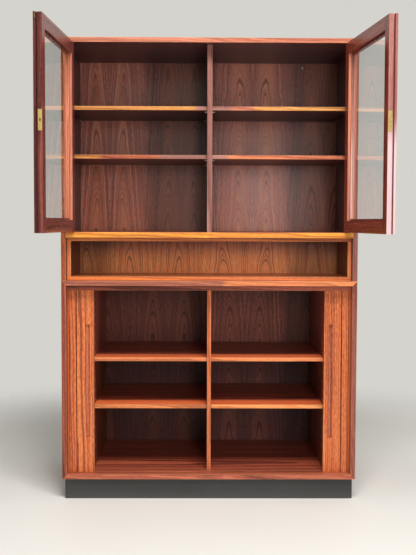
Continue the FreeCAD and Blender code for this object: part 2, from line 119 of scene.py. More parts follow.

# Shelf-pin holes in the liners: the two columns' places, the lowest hole, the step and how many. The
# bare wood and painted highlight round a hole fade with the distance from its rim.
HOLE_COLUMNS = (-0.158, 0.212)
HOLE_FIRST = 0.159
HOLE_STEP = 0.033
HOLE_COUNT = 15
HOLE_RADIUS = 0.00255
HOLE_BARE_AND_GLINT = 0.85
HOLE_GLINT_FULL = 0.0010
HOLE_GLINT_NONE = 0.0028

# Screws: radius, rise of the dome, width and depth of the slot
PLATE_SCREW = (0.0026, 0.0004, 0.0009, 0.0005)
BACK_SCREW = (0.0044, 0.0009, 0.0008, 0.0005)
BACK_SCREW_X, BACK_SCREW_Z = 0.353, 1.527
BACK_SCREW_TURN_DEG = 30

# Their mesh, and how much of the radius the slot takes
SCREW_SPOKES = 32
SCREW_CIRCLES = 8
SLOT_REACH = 0.97

# The doors' brass plates. Corners this near to the furthest one lie on the plate's face.
PLATE_LENGTH = 0.0605
SCREW_FROM_PLATE_END = 0.007
ON_PLATE_FACE = 0.0002

# The solid strip along the front edge of a board: its depth, its seam, and half the length of its joints
LIP_DEPTH = 0.006
LIP_SEAM = 0.0004
LIP_JOINT = 0.012

# Veneer, in pairs of leaves: how soft the change of shade to the next pair is, how ragged its line is,
# and in metres how far along the trunk the next pair is cut
VENEER_BLEND = 0.10
VENEER_RAGGED = 0.06
VENEER_STEP = 1.31

# Worn edges, bare wood in the pin holes with a painted highlight round their mouths, and a painted sheen,
# pale pink
WORN_WOOD = (0.90, 0.42, 0.17)
BARE_AND_GLINTING_WOOD = (0.80, 0.52, 0.36)
PAINTED_SHEEN = (0.82, 0.60, 0.62)

# The painted sheen on the right door's edges: the height above which there is none, the height below
# which it is full, and how strong it is. Then its range over the fibre, and what is left of it in a
# growth line.
STILE_PAINTED_SHEEN = (1.27, 1.15, 0.80)
BEAD_PAINTED_SHEEN = (1.27, 1.15, 0.40)
PAINTED_SHEEN_ON_FIBRE = (0.78, 1.06)
PAINTED_SHEEN_ON_LINE = 0.55

# How far at random a board's cut lies from its place in the trunk, across and along
CUT_ACROSS = 0.03
CUT_ALONG = 3.0

# The figure's waves in a metre, across, through and along the trunk
WANDER_WAVES = (6.0, 6.0, 1.7)
SWELL_WAVES = (11.0, 11.0, 5.0)
RIPPLE_WAVES = (80.0, 80.0, 9.0)
CLOUD_WAVES = (9.0, 9.0, 2.6)
MOTTLE_WAVES = (240.0, 240.0, 60.0)
PORE_WAVES = (1100.0, 1100.0, 50.0)
FIBRE_WAVES = (420.0, 420.0, 9.0)

# Its waves in a growth ring, how widely the pith wanders, by how many rings the fine ripple moves them,
# and how much the clouds change the tone
BANDS_PER_RING = 0.23
STREAKS_PER_RING = 1.9
LINES_PER_RING = 0.85
LINES_FROM = 31.7
WANDER_WIDTH = 0.034
RIPPLE_RINGS = 0.7
CLOUD_TONE = 0.55

# Where in their noise the dark growth lines, the clouds and the pores begin and end
LINE_FULL, LINE_NONE = 0.34, 0.44
CLOUD_NONE, CLOUD_FULL = 0.30, 0.70
PORE_NONE, PORE_FULL = 0.60, 0.74

# From figure to colour: where the dark, deep, plain and light wood stand, how much of the plain wood is
# in the deep, the tint of the clouds, how strong clouds, lines and pores are, and the fibre's range
TONE_STOPS = (0.08, 0.32, 0.52, 0.82)
DEEP_PLAIN = 0.55
RUDDY = (0.72, 0.55, 0.60)
CLOUD_SHARE = 0.35
LINE_SHARE = 0.72
PORE_SHARE = 0.55
FIBRE_LOW, FIBRE_HIGH = 0.25, 0.75
FIBRE_SHADES = (0.80, 1.14)

# From figure to surface: the worn edges, what pores, fibre and edges add to the roughness, and the grain
EDGE_WAVES = (60.0, 60.0, 60.0)
EDGE_WIDTH = 0.0030
EDGE_WEAR = 0.35
PORE_ROUGH = 0.22
FIBRE_ROUGH = 0.12
EDGE_ROUGH = 0.08
FIBRE_HEIGHT = 0.5
GRAIN_DEPTH = 0.00012
GRAIN_STRENGTH = 0.6

# Wood tones: the colour in dark streaks, in plain wood and in light wood
TONES = {
    "bright": ((0.160, 0.032, 0.014), (0.640, 0.165, 0.052), (0.900, 0.330, 0.100)),
    "amber": ((0.480, 0.140, 0.030), (0.940, 0.390, 0.055), (0.970, 0.540, 0.095)),
    "peach": ((0.480, 0.150, 0.060), (0.920, 0.300, 0.105), (0.960, 0.440, 0.170)),
    "orange": ((0.420, 0.090, 0.022), (0.900, 0.235, 0.048), (0.950, 0.360, 0.085)),
    # Painted light: the lit front of the low case's shelf tops
    "painted_lit_flame": ((0.560, 0.095, 0.032), (0.970, 0.200, 0.058), (0.980, 0.300, 0.100)),
    "umber": ((0.130, 0.034, 0.011), (0.500, 0.130, 0.034), (0.740, 0.230, 0.060)),
    "honey": ((0.300, 0.095, 0.028), (0.640, 0.270, 0.072), (0.820, 0.410, 0.120)),
    "pale": ((0.360, 0.090, 0.036), (0.820, 0.225, 0.080), (0.940, 0.370, 0.140)),
    # Painted light and sheen: pinkish, for edges that face the light
    "salmon": ((0.270, 0.085, 0.056), (0.560, 0.180, 0.098), (0.700, 0.270, 0.160)),
    # Painted sheen: pinkish grey, on edges and beads
    "rosy": ((0.170, 0.058, 0.045), (0.340, 0.150, 0.122), (0.500, 0.245, 0.195)),
    "maroon": ((0.080, 0.020, 0.018), (0.340, 0.082, 0.060), (0.540, 0.150, 0.090)),
    "russet": ((0.140, 0.036, 0.026), (0.315, 0.094, 0.064), (0.460, 0.165, 0.105)),
    # Painted sheen: pinkish, on edges of the right-hand side
    "blush": ((0.180, 0.062, 0.055), (0.360, 0.135, 0.115), (0.480, 0.220, 0.190)),
    "mid": ((0.160, 0.038, 0.022), (0.500, 0.130, 0.062), (0.780, 0.250, 0.110)),
    "tambour": ((0.180, 0.034, 0.017), (0.710, 0.172, 0.056), (0.930, 0.320, 0.095)),
    "case": ((0.110, 0.025, 0.016), (0.420, 0.105, 0.058), (0.640, 0.185, 0.095)),
    "inner": ((0.075, 0.016, 0.011), (0.340, 0.070, 0.036), (0.540, 0.130, 0.060)),
    # Painted shade: the dark tone of the display case's inner faces, and of the seams between slats
    "shade": ((0.045, 0.017, 0.017), (0.135, 0.046, 0.046), (0.220, 0.085, 0.070)),
    "walnut": ((0.050, 0.014, 0.008), (0.180, 0.048, 0.022), (0.330, 0.100, 0.040)),
    "back": ((0.080, 0.025, 0.021), (0.335, 0.114, 0.084), (0.530, 0.215, 0.140)),
    # Painted light: the lighter lower part of the display case's back
    "painted_lit_chestnut": ((0.130, 0.036, 0.024), (0.550, 0.165, 0.100), (0.760, 0.270, 0.150)),
    "deep": ((0.030, 0.011, 0.010), (0.115, 0.040, 0.036), (0.220, 0.075, 0.055)),
    # Painted light: the lighter upper bay of the low case's back
    "painted_lit_dusk": ((0.060, 0.018, 0.013), (0.265, 0.078, 0.054), (0.440, 0.145, 0.088)),
    "golden": ((0.420, 0.120, 0.044), (0.910, 0.320, 0.105), (0.970, 0.450, 0.150)),
    "left_door": ((0.060, 0.016, 0.013), (0.225, 0.054, 0.042), (0.360, 0.105, 0.074)),
    "right_door": ((0.075, 0.014, 0.010), (0.270, 0.047, 0.029), (0.430, 0.100, 0.054)),
}

# Metals: the colour where clean and where dull, and how dull the tarnished patches are
METALS = {
    "brass": ((0.92, 0.68, 0.26), (0.55, 0.34, 0.11), 0.5),
    "aged_brass": ((0.42, 0.28, 0.13), (0.16, 0.10, 0.06), 0.8),
    "nickel": ((0.62, 0.58, 0.52), (0.36, 0.32, 0.27), 0.6),
}


class Graph:
    """A node tree, with short calls for the kinds of node that the materials use."""

    def __init__(self, tree):
        self.tree = tree

    def new(self, kind, values=(), **settings):
        """A node whose first inputs are plugged with the values."""
        made = self.tree.nodes.new(kind)
        for name, value in settings.items():
            setattr(made, name, value)
        for socket, value in zip(made.inputs, values):
            self.plug(socket, value)
        return made

    def plug(self, socket, value):
        """Links a socket to another one, or sets its value."""
        if isinstance(value, bpy.types.NodeSocket):
            self.tree.links.new(value, socket)
        else:
            socket.default_value = value

    def math(self, operation, *values, clamp=False):
        return self.new("ShaderNodeMath", values, operation=operation, use_clamp=clamp).outputs[0]

    def vector(self, operation, *values):
        return self.new("ShaderNodeVectorMath", values, operation=operation).outputs[0]

    def length(self, x, y):
        both = self.join(x, y, 0.0)
        return self.new("ShaderNodeVectorMath", (both,), operation="LENGTH").outputs["Value"]

    def split(self, vector):
        return tuple(self.new("ShaderNodeSeparateXYZ", (vector,)).outputs)

    def join(self, x, y, z):
        return self.new("ShaderNodeCombineXYZ", (x, y, z)).outputs[0]

    def noise(self, vector, waves, detail=2.0, roughness=0.5):
        """Noise from 0 to 1. waves is how many a metre holds along each of the three directions."""
        made = self.new("ShaderNodeTexNoise")
        self.plug(made.inputs["Vector"], self.vector("MULTIPLY", vector, waves))
        return self.tuned(made, detail, roughness)

    def noise_line(self, place, detail, roughness):
        """Noise from 0 to 1 that changes with one number only."""
        made = self.new("ShaderNodeTexNoise", noise_dimensions="1D")
        self.plug(made.inputs["W"], place)
        return self.tuned(made, detail, roughness)

    def tuned(self, noise, detail, roughness):
        for name, value in (("Scale", 1.0), ("Detail", detail), ("Roughness", roughness)):
            self.plug(noise.inputs[name], value)
        return noise.outputs[0]

    def remap(self, value, low, high, to_low=0.0, to_high=1.0, smooth=False):
        kind = "SMOOTHSTEP" if smooth else "LINEAR"
        values = (value, low, high, to_low, to_high)
        return self.new("ShaderNodeMapRange", values, interpolation_type=kind).outputs[0]

    def mix(self, share, first, second, blend="MIX"):
        made = self.new("ShaderNodeMix", (share,), data_type="RGBA", blend_type=blend)
        for socket, value in ((made.inputs[6], first), (made.inputs[7], second)):
            self.plug(socket, (*value, 1.0) if isinstance(value, tuple) else value)
        return made.outputs[2]

    def shaded(self, colour, shade):
        """A colour times a number that changes over the surface."""
        return self.mix(1.0, colour, self.join(shade, shade, shade), "MULTIPLY")

    def ramp(self, value, *stops):
        """A colour for each value: stops are pairs of a value and a colour, lowest first."""
        made = self.new("ShaderNodeValToRGB", (value,))
        while len(made.color_ramp.elements) < len(stops):
            made.color_ramp.elements.new(1.0)
        for element, (place, colour) in zip(made.color_ramp.elements, stops):
            element.position = place
            element.color = (*colour, 1.0)
        return made.outputs[0]

    def bump(self, height, distance, strength):
        made = self.new("ShaderNodeBump")
        for name, value in (("Strength", strength), ("Distance", distance), ("Height", height)):
            self.plug(made.inputs[name], value)
        return made.outputs[0]

    def turn(self, vector, degrees):
        """A place or a direction, turned about the upright axis."""
        made = self.new("ShaderNodeMapping", (vector,), vector_type="POINT")
        made.inputs["Rotation"].default_value = (0.0, 0.0, math.radians(degrees))
        return made.outputs[0]

    def place(self):
        return self.new("ShaderNodeTexCoord").outputs["Object"]


def new_material(name):
    """A material with a Principled shader joined to its output."""
    material = bpy.data.materials.new(name)
    material.use_nodes = True
    material.node_tree.nodes.clear()
    graph = Graph(material.node_tree)
    output = graph.new("ShaderNodeOutputMaterial")
    shader = graph.new("ShaderNodeBsdfPrincipled")
    graph.plug(output.inputs["Surface"], shader.outputs[0])
    return material, graph, shader, output


def group_with(name, inputs, outputs):
    """A node group whose inputs and outputs are pairs of a name and a kind."""
    tree = bpy.data.node_groups.new(name, "ShaderNodeTree")
    for label, kind in inputs:
        tree.interface.new_socket(label, in_out="INPUT", socket_type=kind)
    for label, kind in outputs:
        tree.interface.new_socket(label, in_out="OUTPUT", socket_type=kind)
    graph = Graph(tree)
    return tree, graph, graph.new("NodeGroupInput").outputs, graph.new("NodeGroupOutput").inputs


def make_figure_group():
    """Rosewood cut from a trunk. The place is across, through and along the board, measured from the
    pith. The rings are cones round the pith: they give straight lines on quarter-cut boards and nested
    arches, which point up where the taper is above zero, on flat-cut ones."""
    number, vector = "NodeSocketFloat", "NodeSocketVector"
    inputs = ("Depth", "Taper", "Ring gap", "Swell", "Bands", "Flecks")
    outputs = ("Tone", "Line", "Cloud", "Pore", "Fibre")
    tree, graph, inside, outside = group_with(
        "rosewood_figure",
        (("Place", vector),) + tuple((label, number) for label in inputs),
        tuple((label, number) for label in outputs),
    )
    place = inside["Place"]
    across, through, along = graph.split(place)
    wander = graph.math("MULTIPLY_ADD", graph.noise(place, WANDER_WAVES), WANDER_WIDTH, -WANDER_WIDTH / 2)
    ripple = graph.math("SUBTRACT", graph.noise(place, RIPPLE_WAVES), 0.5)
    swell = graph.math("SUBTRACT", graph.noise(place, SWELL_WAVES), 0.5)
    off_side = graph.math("ADD", across, wander)
    off_depth = graph.math("ADD", through, inside["Depth"])
    rise = graph.math("MULTIPLY_ADD", along, inside["Taper"], graph.length(off_side, off_depth))
    ring = graph.math("DIVIDE", rise, inside["Ring gap"])
    ring = graph.math("MULTIPLY_ADD", ripple, RIPPLE_RINGS, ring)
    ring = graph.math("MULTIPLY_ADD", swell, inside["Swell"], ring)
    streaks = graph.noise_line(graph.math("MULTIPLY", ring, STREAKS_PER_RING), 2.0, 0.6)
    bands = graph.noise_line(graph.math("MULTIPLY", ring, BANDS_PER_RING), 1.5, 0.5)
    lines = graph.noise_line(graph.math("MULTIPLY_ADD", ring, LINES_PER_RING, LINES_FROM), 2.0, 0.55)
    cloud = graph.noise(place, CLOUD_WAVES)
    mottle = graph.noise(place, MOTTLE_WAVES)
    tone = 0.5
    for value, weight in (
        (bands, inside["Bands"]), (streaks, 1.0), (cloud, CLOUD_TONE), (mottle, inside["Flecks"])
    ):
        tone = graph.math("MULTIPLY_ADD", graph.math("SUBTRACT", value, 0.5), weight, tone)
    values = {
        "Tone": tone,
        "Line": graph.remap(lines, LINE_FULL, LINE_NONE, 1.0, 0.0, smooth=True),
        "Cloud": graph.remap(cloud, CLOUD_NONE, CLOUD_FULL),
        "Pore": graph.remap(graph.noise(place, PORE_WAVES, 1.0), PORE_NONE, PORE_FULL),
        "Fibre": graph.noise(place, FIBRE_WAVES, 2.0, 0.6),
    }
    for label, value in values.items():
        graph.plug(outside[label], value)
    return tree


def make_edge_group():
    """How near a point is to the nearest edge of a board, from 0 inside its faces to 1 at the edge."""
    vector = "NodeSocketVector"
    tree, graph, inside, outside = group_with(
        "board_edge",
        (("Place", vector), ("Middle", vector), ("Half size", vector)),
        (("Edge", "NodeSocketFloat"),),
    )
    offset = graph.vector("ABSOLUTE", graph.vector("SUBTRACT", inside["Place"], inside["Middle"]))
    x, y, z = graph.split(graph.vector("SUBTRACT", inside["Half size"], offset))
    least = graph.math("MINIMUM", graph.math("MINIMUM", x, y), z)
    most = graph.math("MAXIMUM", graph.math("MAXIMUM", x, y), z)
    total = graph.math("ADD", graph.math("ADD", x, y), z)
    second = graph.math("SUBTRACT", graph.math("SUBTRACT", total, least), most)
    width = graph.math("MULTIPLY", graph.noise(inside["Place"], EDGE_WAVES), EDGE_WIDTH)
    graph.plug(outside["Edge"], graph.remap(second, width, 0.0, smooth=True))
    return tree


FIGURE = make_figure_group()
EDGE = make_edge_group()


def call_group(graph, tree, **inputs):
    """The outputs of a node group. An underscore stands for a space in the name of an input."""
    made = graph.new("ShaderNodeGroup", node_tree=tree)
    for name, value in inputs.items():
        graph.plug(made.inputs[name.replace("_", " ")], value)
    return made.outputs


def book_matched(graph, place, leaf, mirror, pith):
    """The place within veneer leaves laid side by side across the panel, each pair opened like a book,
    and how many pairs lie between there and the left edge of the pair numbered 0. leaf is a leaf's
    width, mirror is where that pair opens, and pith how far from there its figure stands."""
    across, through, along = graph.split(place)
    from_mirror = graph.math("DIVIDE", graph.math("SUBTRACT", across, mirror), 2 * leaf)
    run = graph.math("ADD", from_mirror, 0.5)
    pair = graph.math("FLOOR", run)
    within = graph.math("MULTIPLY", graph.math("SUBTRACT", from_mirror, pair), 2 * leaf)
    folded = graph.math("SUBTRACT", graph.math("ABSOLUTE", within), pith)
    moved = graph.math("MULTIPLY_ADD", pair, VENEER_STEP, along)
    return graph.join(folded, through, moved), run


def wood_shader(graph, shader, colour, figure, edge, gloss):
    """Colour and surface of the oiled wood, from its figure and its worn edges."""
    worn = graph.math("MULTIPLY", edge, EDGE_WEAR)
    graph.plug(shader.inputs["Base Color"], graph.mix(worn, colour, WORN_WOOD))
    rough = graph.math("MULTIPLY_ADD", figure["Pore"], PORE_ROUGH, gloss)
    rough = graph.math("MULTIPLY_ADD", figure["Fibre"], FIBRE_ROUGH, rough)
    graph.plug(shader.inputs["Roughness"], graph.math("MULTIPLY_ADD", edge, EDGE_ROUGH, rough))
    fibre = graph.math("MULTIPLY", figure["Fibre"], FIBRE_HEIGHT)
    height = graph.math("SUBTRACT", fibre, figure["Pore"])
    graph.plug(shader.inputs["Normal"], graph.bump(height, GRAIN_DEPTH, GRAIN_STRENGTH))


def tone_colour(graph, tone, figure):
    """The colour that the figure gives to wood of one tone."""
    dark, plain, light = TONES[tone]
    deep = tuple((1.0 - DEEP_PLAIN) * low + DEEP_PLAIN * high for low, high in zip(dark, plain))
    banded = graph.ramp(figure["Tone"], *zip(TONE_STOPS, (dark, deep, plain, light)))
    ruddy = tuple(value * share for value, share in zip(plain, RUDDY))
    clouded = graph.mix(graph.math("MULTIPLY", figure["Cloud"], CLOUD_SHARE), banded, ruddy)
    lined = graph.mix(graph.math("MULTIPLY", figure["Line"], LINE_SHARE), clouded, dark)
    fibred = graph.shaded(lined, graph.remap(figure["Fibre"], FIBRE_LOW, FIBRE_HIGH, *FIBRE_SHADES))
    return graph.mix(graph.math("MULTIPLY", figure["Pore"], PORE_SHARE), fibred, dark)


def pieced(graph, across, tones, figure):
    """The colour of a strip joined from lengths of wood whose tones paint light and sheen along the edge
    as well as the wood's own changes: tones are a tone and then, for each further length, where it starts
    and its tone."""
    colour = tone_colour(graph, tones[0], figure)
    for start, tone in tones[1:]:
        share = graph.remap(across, start - LIP_JOINT, start + LIP_JOINT, smooth=True)
        colour = graph.mix(share, colour, tone_colour(graph, tone, figure))
    return colour


def veneer_colour(graph, colour, sawn, run, shades, tone, figure):
    """Lighter, warmer wood where the arches stand, and a shade for each pair of leaves, which holds
    painted light and painted reflection as well as the leaves' own tone: shades are the leftmost pair's
    number and its shade, and then those of the pairs to its right."""
    heart_full, heart_none, glow_share, warmer = 0.008, 0.042, 0.50, (1.15, 1.0, 0.70)
    patch_waves, ragged_waves, line_share = (7.0, 7.0, 5.0), (8.0, 8.0, 8.0), 0.40
    dark, _, light = TONES[tone]
    off_heart = graph.math("ABSOLUTE", graph.split(sawn)[0])
    heart = graph.remap(off_heart, heart_full, heart_none, 1.0, 0.0, smooth=True)
    patchy = graph.remap(graph.noise(sawn, patch_waves), 0.35, 0.65, 0.1, 0.9)
    glow = graph.math("MULTIPLY", graph.math("MULTIPLY", heart, patchy), glow_share)
    colour = graph.mix(glow, colour, tuple(value * share for value, share in zip(light, warmer)))
    torn = graph.remap(graph.noise(sawn, ragged_waves, 3.0), 0.2, 0.8, -VENEER_RAGGED, VENEER_RAGGED)
    ragged = graph.math("ADD", run, torn)
    first, shade = shades[:2]
    for count, (before, after) in enumerate(zip(shades[1:], shades[2:])):
        seam = first + count + 1.0
        further = graph.remap(ragged, seam - VENEER_BLEND, seam + VENEER_BLEND, smooth=True)
        shade = graph.math("MULTIPLY_ADD", further, after - before, shade)
    colour = graph.shaded(colour, shade)
    return graph.mix(graph.math("MULTIPLY", figure["Line"], line_share), colour, dark)


def seam_shade(graph, across, first, step):
    """How much painted shade darkens the seams between slats and beside them: most in a seam, none 2 mm
    from it.
    """
    steps = graph.math("DIVIDE", graph.math("SUBTRACT", graph.math("ABSOLUTE", across), first), step)
    off_seam = graph.math("ABSOLUTE", graph.math("SUBTRACT", steps, graph.math("ROUND", steps)))
    away = graph.math("MULTIPLY", off_seam, step)
    return graph.remap(away, SEAM_SHADE_FULL, SEAM_SHADE_NONE, SEAM_PAINTED_SHADE, 0.0, smooth=True)


def hole_bare_and_glint(graph, y, z):
    """How much bare wood, with a painted highlight, there is in the shelf-pin holes and round their
    mouths.
    """
    steps = graph.math("DIVIDE", graph.math("SUBTRACT", z, HOLE_FIRST), HOLE_STEP)
    nearest = graph.math("MINIMUM", graph.math("ROUND", steps), HOLE_COUNT - 1.0)
    nearest = graph.math("MAXIMUM", nearest, 0.0)
    up = graph.math("MULTIPLY", graph.math("SUBTRACT", steps, nearest), HOLE_STEP)
    front, back = (graph.math("ABSOLUTE", graph.math("SUBTRACT", y, column)) for column in HOLE_COLUMNS)
    away = graph.length(graph.math("MINIMUM", front, back), up)
    full, none = HOLE_RADIUS + HOLE_GLINT_FULL, HOLE_RADIUS + HOLE_GLINT_NONE
    return graph.remap(away, full, none, HOLE_BARE_AND_GLINT, 0.0, smooth=True)


def washed(graph, colour, z, wash, figure):
    """A colour with a painted sheen, pale pink, that grows below a height and is weaker in the growth
    lines.
    """
    top, foot, share = wash
    sheen_share = graph.remap(z, top, foot, 0.0, share, smooth=True)
    on_fibre = graph.remap(figure["Fibre"], FIBRE_LOW, FIBRE_HIGH, *PAINTED_SHEEN_ON_FIBRE)
    sheen_share = graph.math("MULTIPLY", sheen_share, on_fibre)
    sheen_share = graph.math("MULTIPLY", sheen_share, graph.remap(figure["Line"], 0.0, 1.0, 1.0, PAINTED_SHEEN_ON_LINE))
    return graph.mix(sheen_share, colour, PAINTED_SHEEN)


def rosewood(
    name, tone, axes, box, turn=0.0, pith=0.10, depth=0.05, taper=0.02, gap=0.0065, swell=0.8,
    bands=1.7, flecks=0.45, lip=None, partly=None, rim=None, wash=None, leaves=None, shades=None,
    seams=None, drilled=False, gloss=0.30, shine=0.30, read_place=Graph.place,
):
    """One board's rosewood. axes are the row axes that run across, through and along the grain, box is
    the board's lowest and highest corner, and turn brings the axes of a turned board back to the row's.
    pith, depth, taper, gap, swell, bands and flecks shape the figure. lip names the tones of the solid
    strip along the front edge. partly gives part of the board another tone: the row axis, how far from
    the low corner that tone is full, how far from it there is none, and the tone; on many boards this
    paints light or shade. rim is the tone of the faces that look across the board, which paints light on
    them by how they face it, and a painted sheen, pale pink, can be laid on these below a height. leaves
    and shades are a veneered panel's, and the shades hold painted light and reflection too. seams are the
    first one and the step between them, darkened with painted shade, and drilled is for boards with pin
    holes, bare and with a painted highlight. gloss is the least roughness, shine the specular level, and
    read_place reads the place."""
    material, graph, shader, _ = new_material(name)
    origin = read_place(graph)
    row = dict(zip("XYZ", graph.split(graph.turn(origin, turn))))
    board = graph.join(*(row[axis] for axis in axes))
    # The second draw isn't used, but without it the boards that follow would get other cuts
    off_side, _, off_end = (
        draw.uniform(-CUT_ACROSS, CUT_ACROSS), draw.uniform(0.0, 4.0), draw.uniform(-CUT_ALONG, CUT_ALONG)
    )
    low, high = box
    middle = (low + high) / 2
    centre = [middle["XYZ".index(axis)] for axis in axes]
    if leaves:
        board, run = book_matched(graph, board, *leaves)
        home = (0.0, -centre[1], 0.0)
    elif turn:
        home = (pith + off_side, 0.0, off_end)
    else:
        home = (pith + off_side - centre[0], -centre[1], off_end - centre[2])
    sawn = graph.vector("ADD", board, home)
    figure = call_group(
        graph, FIGURE, Place=sawn, Depth=depth, Taper=taper, Ring_gap=gap, Swell=swell, Bands=bands,
        Flecks=flecks,
    )
    half_size = tuple((high - low) / 2)
    edge = call_group(graph, EDGE, Place=origin, Middle=tuple(middle), Half_size=half_size)["Edge"]
    colour = tone_colour(graph, tone, figure)
    x, y, z = graph.split(origin)
    # On many boards the other tone paints light or shade: a lit front, a lit lower or upper part, a
    # shaded inside
    if partly:
        axis, full, none, other = partly
        corner = low["XYZ".index(axis)]
        reach = (x, y, z)["XYZ".index(axis)]
        share = graph.remap(reach, corner + full, corner + none, 1.0, 0.0, smooth=True)
        colour = graph.mix(share, colour, tone_colour(graph, other, figure))
    # The pairs' shades hold painted light and painted reflection as well as the leaves' own tone
    if leaves:
        colour = veneer_colour(graph, colour, sawn, run, shades, tone, figure)
    if lip:
        lip_back = low.y + LIP_DEPTH
        front = graph.remap(y, lip_back, lip_back + LIP_SEAM, 1.0, 0.0)
        colour = graph.mix(front, colour, pieced(graph, x, lip, figure))
    # Painted light: the faces that look across the board, such as a door's edges, take a tone of their
    # own by how they face the light
    if rim:
        normal = graph.turn(graph.new("ShaderNodeTexCoord").outputs["Normal"], turn)
        facing_out = graph.math("ABSOLUTE", graph.split(normal)["XYZ".index(axes[0])])
        rim_colour = tone_colour(graph, rim, figure)
        # Painted sheen, pale pink, on these faces below a height
        if wash:
            rim_colour = washed(graph, rim_colour, z, wash, figure)
        colour = graph.mix(graph.remap(facing_out, 0.5, 0.8), colour, rim_colour)
    # Bare wood in the pin holes, with a painted highlight round their mouths
    if drilled:
        colour = graph.mix(hole_bare_and_glint(graph, y, z), colour, BARE_AND_GLINTING_WOOD)
    # Painted shade: the seams between slats, darkened
    if seams:
        seam_painted_shade = seam_shade(graph, x, *seams)
        colour = graph.mix(seam_painted_shade, colour, TONES["shade"][0])
        edge = graph.math("SUBTRACT", edge, seam_painted_shade, clamp=True)
    wood_shader(graph, shader, colour, figure, edge, gloss)
    shader.inputs["Specular IOR Level"].default_value = shine
    return material


def painted_plinth():
    """Matt black paint on wood: faint brush lines along the board, and scuffs near the floor."""
    brush_waves, cloud_waves, scuff_waves = (6.0, 6.0, 260.0), (9.0, 9.0, 9.0), (40.0, 40.0, 220.0)
    scuffed_to, scuff_share, scuff_colour = 0.03, 0.25, (0.2, 0.19, 0.17)
    thin_paint, thick_paint, brush_depth = (0.027, 0.027, 0.026), (0.038, 0.037, 0.036), 0.0003
    material, graph, shader, _ = new_material("plinth_paint")
    place = graph.place()
    brush = graph.noise(place, brush_waves)
    cloud = graph.noise(place, cloud_waves, 3.0)
    low_down = graph.remap(graph.split(place)[2], scuffed_to, 0.0)
    scuff = graph.math("MULTIPLY", graph.noise(place, scuff_waves, 3.0, 0.7), low_down)
    paint = graph.ramp(cloud, (0.25, thin_paint), (0.75, thick_paint))
    colour = graph.mix(graph.math("MULTIPLY", scuff, scuff_share), paint, scuff_colour)
    graph.plug(shader.inputs["Base Color"], colour)
    graph.plug(shader.inputs["Roughness"], graph.remap(brush, 0.2, 0.8, 0.50, 0.66))
    graph.plug(shader.inputs["Normal"], graph.bump(brush, brush_depth, 0.5))
    return material


def metal(name):
    """Metal that has been handled: fine scratches, and tarnish in patches."""
    scratch_waves, patch_waves = (900.0, 900.0, 60.0), (90.0, 90.0, 90.0)
    smooth, scratched, scratch_depth = 0.20, 0.18, 0.00004
    clean, dull, dulled = METALS[name]
    material, graph, shader, _ = new_material(name)
    place = graph.place()
    scratch = graph.noise(place, scratch_waves, 2.0, 0.6)
    tarnish = graph.remap(graph.noise(place, patch_waves, 3.0), 0.45, 0.75)
    colour = graph.mix(graph.math("MULTIPLY", tarnish, dulled), clean, dull)
    graph.plug(shader.inputs["Base Color"], colour)
    shader.inputs["Metallic"].default_value = 1.0
    graph.plug(shader.inputs["Roughness"], graph.math("MULTIPLY_ADD", scratch, scratched, smooth))
    graph.plug(shader.inputs["Normal"], graph.bump(scratch, scratch_depth, 0.5))
    return material


def glass():
    """Clear float glass, faintly green, with a breath of dust. Lamps shine through it."""
    dust_waves, dusty = (18.0, 18.0, 18.0), 0.02
    tint, shadow_tint = (0.985, 1.0, 0.99, 1.0), (0.93, 0.96, 0.95, 1.0)
    material, graph, shader, output = new_material("pane_glass")
    dust = graph.noise(graph.place(), dust_waves, 4.0, 0.6)
    graph.plug(shader.inputs["Roughness"], graph.remap(dust, 0.45, 0.8, 0.0, dusty))
    shader.inputs["Base Color"].default_value = tint
    shader.inputs["Transmission Weight"].default_value = 1.0
    shader.inputs["IOR"].default_value = 1.5
    lamp_side = graph.new("ShaderNodeBsdfTransparent", (shadow_tint,))
    in_shadow = graph.new("ShaderNodeLightPath").outputs["Is Shadow Ray"]
    choose = graph.new("ShaderNodeMixShader", (in_shadow, shader.outputs[0], lamp_side.outputs[0]))
    graph.plug(output.inputs["Surface"], choose.outputs[0])
    return material


def canvas():
    """The linen backing of the tambours, in plain weave."""
    thread, thread_depth, slub_waves = 0.0009, 0.0003, (300.0, 300.0, 300.0)
    hollow, raised, slubby = (0.24, 0.19, 0.14), (0.42, 0.35, 0.27), (0.30, 0.24, 0.18)
    material, graph, shader, _ = new_material("canvas")
    place = graph.place()
    x, y, z = graph.split(place)
    warp, weft = (
        graph.math("SINE", graph.math("MULTIPLY", across, 2 * math.pi / thread))
        for across in (graph.math("ADD", x, y), z)
    )
    weave = graph.math("MULTIPLY_ADD", graph.math("MULTIPLY", warp, weft), 0.5, 0.5)
    slub = graph.noise(place, slub_waves)
    woven = graph.mix(graph.math("MULTIPLY", weave, 0.6), hollow, raised)
    graph.plug(shader.inputs["Base Color"], graph.mix(graph.math("MULTIPLY", slub, 0.3), woven, slubby))
    graph.plug(shader.inputs["Roughness"], graph.remap(slub, 0.2, 0.8, 0.80, 0.95))
    graph.plug(shader.inputs["Normal"], graph.bump(weave, thread_depth, 0.6))
    return material


def dress(name, material):
    """Gives a CAD node one material."""
    if not nodes[name].material_slots:
        nodes[name].data.materials.append(material)
    for slot in nodes[name].material_slots:
        slot.material = material


def dress_wood(name, tone, axes, **options):
    dress(name, rosewood("wood_" + name, tone, axes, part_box(name), **options))


